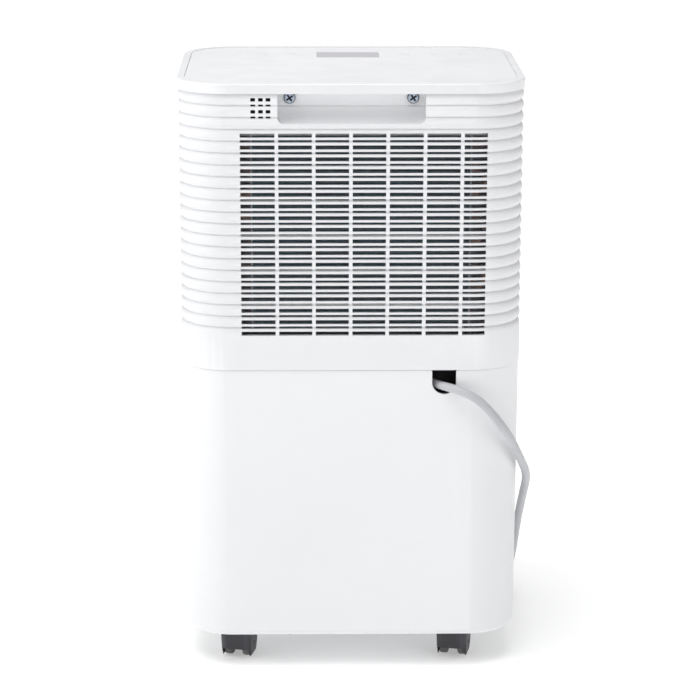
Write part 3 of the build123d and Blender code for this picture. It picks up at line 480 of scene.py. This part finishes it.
def filter_net(shape):
    """Upright and level threads that cross on the two sides of one plane."""
    low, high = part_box("filter_mesh")
    middle = (low.y + high.y) / 2
    half = NET_THREAD / 2
    columns = round((high.x - low.x) / NET_CELL)
    rows = round((high.z - low.z) / NET_CELL)
    for i in range(columns + 1):
        x = low.x + half + (high.x - low.x - NET_THREAD) * i / columns
        add_bar(shape, (x - half, middle - half, low.z), (x + half, middle, high.z))
    for i in range(rows + 1):
        z = low.z + half + (high.z - low.z - NET_THREAD) * i / rows
        add_bar(shape, (low.x, middle, z - half), (high.x, middle + half, z + half))


net = piece("filter_net", filter_net, net_thread, "cabinet")
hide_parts("filter_mesh")

# ---- key marks ------------------------------------------------------------------------------
PANEL_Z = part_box("control_panel")[1].z
MARK_LOW = PANEL_Z - 0.05 * MM
MARK_HIGH = PANEL_Z + 0.03 * MM
MARK_Y = 60.0 * MM
MARK_STEPS = 28
MARK_LINE = 0.55 * MM
MARK_SIZE = 3.2 * MM


def arc(centre, radius, start, end, steps=MARK_STEPS):
    """Points along an arc, angles in degrees."""
    turns = [math.radians(start + (end - start) * i / steps) for i in range(steps + 1)]
    return [(centre[0] + radius * math.cos(t), centre[1] + radius * math.sin(t)) for t in turns]


def add_arc_band(shape, centre, radius, breadth, start, end):
    """A band along an arc, made of short strips."""
    outer = arc(centre, radius + breadth / 2, start, end)
    inner = arc(centre, radius - breadth / 2, start, end)
    for i in range(MARK_STEPS):
        add_strip(shape, [outer[i], outer[i + 1], inner[i + 1], inner[i]], MARK_LOW, MARK_HIGH)


def add_flat_bar(shape, x, y):
    """A level bar from pairs of low and high coordinates."""
    add_bar(shape, (x[0], y[0], MARK_LOW), (x[1], y[1], MARK_HIGH))


def ring_mark(shape, x):
    add_arc_band(shape, (x, MARK_Y), MARK_SIZE, MARK_LINE, 0, 360)


def drop_mark(shape, x):
    add_arc_band(shape, (x, MARK_Y - 0.8 * MM), 2.4 * MM, MARK_LINE, 150, 390)
    half = MARK_LINE / 2
    tip_y = MARK_Y + 4.2 * MM
    foot_y = MARK_Y + 0.4 * MM
    for side in (-1, 1):
        foot_x = x + side * 2.1 * MM
        stroke = [(x - half, tip_y), (x + half, tip_y), (foot_x + half, foot_y), (foot_x - half, foot_y)]
        add_strip(shape, stroke, MARK_LOW, MARK_HIGH)


def fan_mark(shape, x):
    reach = 1.9 * MM
    for k in range(3):
        turn = math.radians(90 + 120 * k)
        centre = (x + reach * math.cos(turn), MARK_Y + reach * math.sin(turn))
        add_arc_band(shape, centre, 1.5 * MM, MARK_LINE, 120 * k - 90, 120 * k + 150)


def clock_mark(shape, x):
    half = MARK_LINE / 2
    ring_mark(shape, x)
    add_flat_bar(shape, (x - half, x + half), (MARK_Y, MARK_Y + 2.1 * MM))
    add_flat_bar(shape, (x + half, x + 1.8 * MM), (MARK_Y, MARK_Y + MARK_LINE))


def plus_mark(shape, x):
    half = MARK_LINE / 2
    add_flat_bar(shape, (x - MARK_SIZE, x + MARK_SIZE), (MARK_Y - half, MARK_Y + half))
    add_flat_bar(shape, (x - half, x + half), (MARK_Y + MARK_LINE, MARK_Y + MARK_SIZE))
    add_flat_bar(shape, (x - half, x + half), (MARK_Y - MARK_SIZE, MARK_Y - MARK_LINE))


def power_mark(shape, x):
    half = MARK_LINE / 2
    add_arc_band(shape, (x, MARK_Y), MARK_SIZE, MARK_LINE, 120, 420)
    add_flat_bar(shape, (x - half, x + half), (MARK_Y + 1.2 * MM, MARK_Y + 4.4 * MM))


MARKS = (  # each sign with its x in mm
    (ring_mark, -94.6),
    (drop_mark, -70.4),
    (fan_mark, -46.6),
    (clock_mark, 49.0),
    (plus_mark, 73.0),
    (power_mark, 97.0),
)


def key_marks(shape):
    """Six small generic signs: a ring, a drop, a fan, a clock, a plus and a ring with a stroke."""
    for mark, x in MARKS:
        mark(shape, x * MM)


mark_ink = moulded_plastic("mark_ink", (0.60, 0.61, 0.64), 0.4, mottle=0.05)
piece("key_marks", key_marks, mark_ink, "cabinet")

# ---- mains cord -----------------------------------------------------------------------------
CORD_DIAMETER = 7.0 * MM
CORD_ROUTE = [  # mm, as are all values of the coil
    (63.2, -90.8, 244.6),
    (72.7, -104.5, 245.0),
    (88.1, -114.2, 243.4),
    (104.4, -118.1, 236.0),
    (119.3, -119.2, 218.7),
    (130.4, -108.9, 201.0),
    (139.0, -93.0, 180.9),
    (149.3, -61.0, 155.0),
    (149.9, -18.0, 124.0),
    (149.6, 30.0, 82.0),
    (149.3, 68.0, 38.0),
    (147.0, 98.0, 5.0),
    (141.5, 130.0, 3.5),
    (131.5, 161.0, 3.5),
]
PLUG_ROUTE = [(22.0, 200.5, 11.0), (4.5, 190.5, 13.5)]
COIL_CENTRE = (63.0, 171.5)
COIL_OUTER = 49.2
COIL_START = 17.0  # degrees, where the cord comes in
COIL_TURNS = 5 + 103.0 / 360
COIL_STEPS = 24  # points for each turn
FLOOR_TURNS = 3
LAYER = 7.0  # one cord's thickness
STEP_SHARE = 0.16  # the part of a lap in which the cord moves one thickness in or out
CLIMB_LEAD = 0.30  # how long before the last floor lap ends the cord begins to climb, in turns
CLIMB_SHARE = 0.22  # how long it takes to reach the upper layer, in turns


def eased(value):
    """A smooth step from 0 to 1."""
    value = min(max(value, 0.0), 1.0)
    return value * value * (3 - 2 * value)


def coil_point(turn):
    """Where the wound cord is after a number of turns: three laps inwards on the floor, then out on top."""
    lap = int(turn)
    step = eased((turn - lap - (1 - STEP_SHARE)) / STEP_SHARE)
    if lap < FLOOR_TURNS - 1:
        radius = COIL_OUTER - LAYER * (lap + step)
    elif lap < FLOOR_TURNS:
        radius = COIL_OUTER - LAYER * lap
    else:
        radius = COIL_OUTER - LAYER * (FLOOR_TURNS - 1) + LAYER * (lap - FLOOR_TURNS + step)
    lift = eased((turn - FLOOR_TURNS + CLIMB_LEAD) / CLIMB_SHARE)
    angle = math.radians(COIL_START + 360 * turn)
    return (
        COIL_CENTRE[0] + radius * math.cos(angle),
        COIL_CENTRE[1] + radius * math.sin(angle),
        CORD_DIAMETER / MM / 2 + LAYER * lift,
    )


def mains_cord():
    """The whole cord as one smooth spline: the route, the coil behind the unit and the plug's lead."""
    steps = round(COIL_TURNS * COIL_STEPS)
    coil = [coil_point(COIL_TURNS * i / steps) for i in range(steps + 1)]
    points = CORD_ROUTE + coil + PLUG_ROUTE
    curve = bpy.data.curves.new("mains_cord", "CURVE")
    curve.dimensions = "3D"
    curve.bevel_depth = CORD_DIAMETER / 2
    curve.bevel_resolution = 6
    curve.use_fill_caps = True
    spline = curve.splines.new("NURBS")
    spline.points.add(len(points) - 1)
    for target, (x, y, z) in zip(spline.points, points):
        target.co = (x * MM, y * MM, z * MM, 1.0)
    spline.order_u = 3
    spline.use_endpoint_u = True
    spline.resolution_u = 6
    curve.materials.append(cord_jacket)
    return show(bpy.data.objects.new("mains_cord", curve))


cord = mains_cord()
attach(cord, "cabinet")
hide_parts("power_cord", "cord_coil", "plug_lead")

# ---- studio ---------------------------------------------------------------------------------
FLOOR_REACH = 60.0
FLOOR_GLOW = (0.34, 0.72)  # emission under the unit and far from it
FLOOR_GLOW_REACH = (0.5, 3.0)  # distances between which it rises
SURROUND = 0.37
LENS = 123.43
EYE = (-0.034, -1.980, 0.7805)
TURN = (74.914, -0.116, -0.979)  # degrees


def studio_floor():
    """A pale seamless sheet that the unit stands on."""
    colour = (0.90, 0.90, 0.90)
    shader = Shader("studio_floor", colour, 0.75)
    shader.paint(shader.blend(shader.noise(3.0, 3.0), shade(colour, 0.985), colour))
    shader.set("Emission Color", (1.0, 1.0, 1.0, 1.0))
    distance = shader.add("ShaderNodeVectorMath", operation="LENGTH")
    shader.link(shader.place, distance.inputs[0])
    glow = shader.spread(distance.outputs["Value"], *FLOOR_GLOW, *FLOOR_GLOW_REACH)
    shader.link(glow, shader.principled.inputs["Emission Strength"])
    corners = [(-1, -1), (1, -1), (1, 1), (-1, 1)]
    mesh = bpy.data.meshes.new("studio_floor")
    mesh.from_pydata([(x * FLOOR_REACH, y * FLOOR_REACH, 0) for x, y in corners], [], [(0, 1, 2, 3)])
    mesh.materials.append(shader.material)
    return show(bpy.data.objects.new("studio_floor", mesh))


def softbox(name, place, target, size, power):
    """A square soft light that is aimed at a point."""
    light = bpy.data.lights.new(name, "AREA")
    light.shape = "RECTANGLE"
    light.size = size
    light.size_y = size
    light.energy = power
    made = show(bpy.data.objects.new(name, light))
    made.location = place
    made.rotation_euler = (Vector(target) - Vector(place)).to_track_quat("-Z", "Y").to_euler()


studio_floor()
softbox("key", (-2.2, -0.7, 1.3), (0, 0, 0.25), 1.4, 20)
softbox("overhead", (-0.3, -0.3, 2.4), (0, 0, 0.3), 1.8, 38)
softbox("fill", (2.4, -1.6, 1.0), (0, 0, 0.25), 1.6, 9)

world = bpy.data.worlds.new("studio")
bpy.context.scene.world = world
world.use_nodes = True
background = world.node_tree.nodes["Background"]
background.inputs["Color"].default_value = (1.0, 1.0, 1.0, 1.0)
background.inputs["Strength"].default_value = SURROUND
bpy.context.scene.view_settings.view_transform = "Standard"

camera = bpy.data.cameras.new("camera")
camera.lens = LENS
camera.sensor_width = 36.0
viewpoint = show(bpy.data.objects.new("camera", camera))
viewpoint.location = EYE
viewpoint.rotation_euler = [math.radians(angle) for angle in TURN]
bpy.context.scene.camera = viewpoint
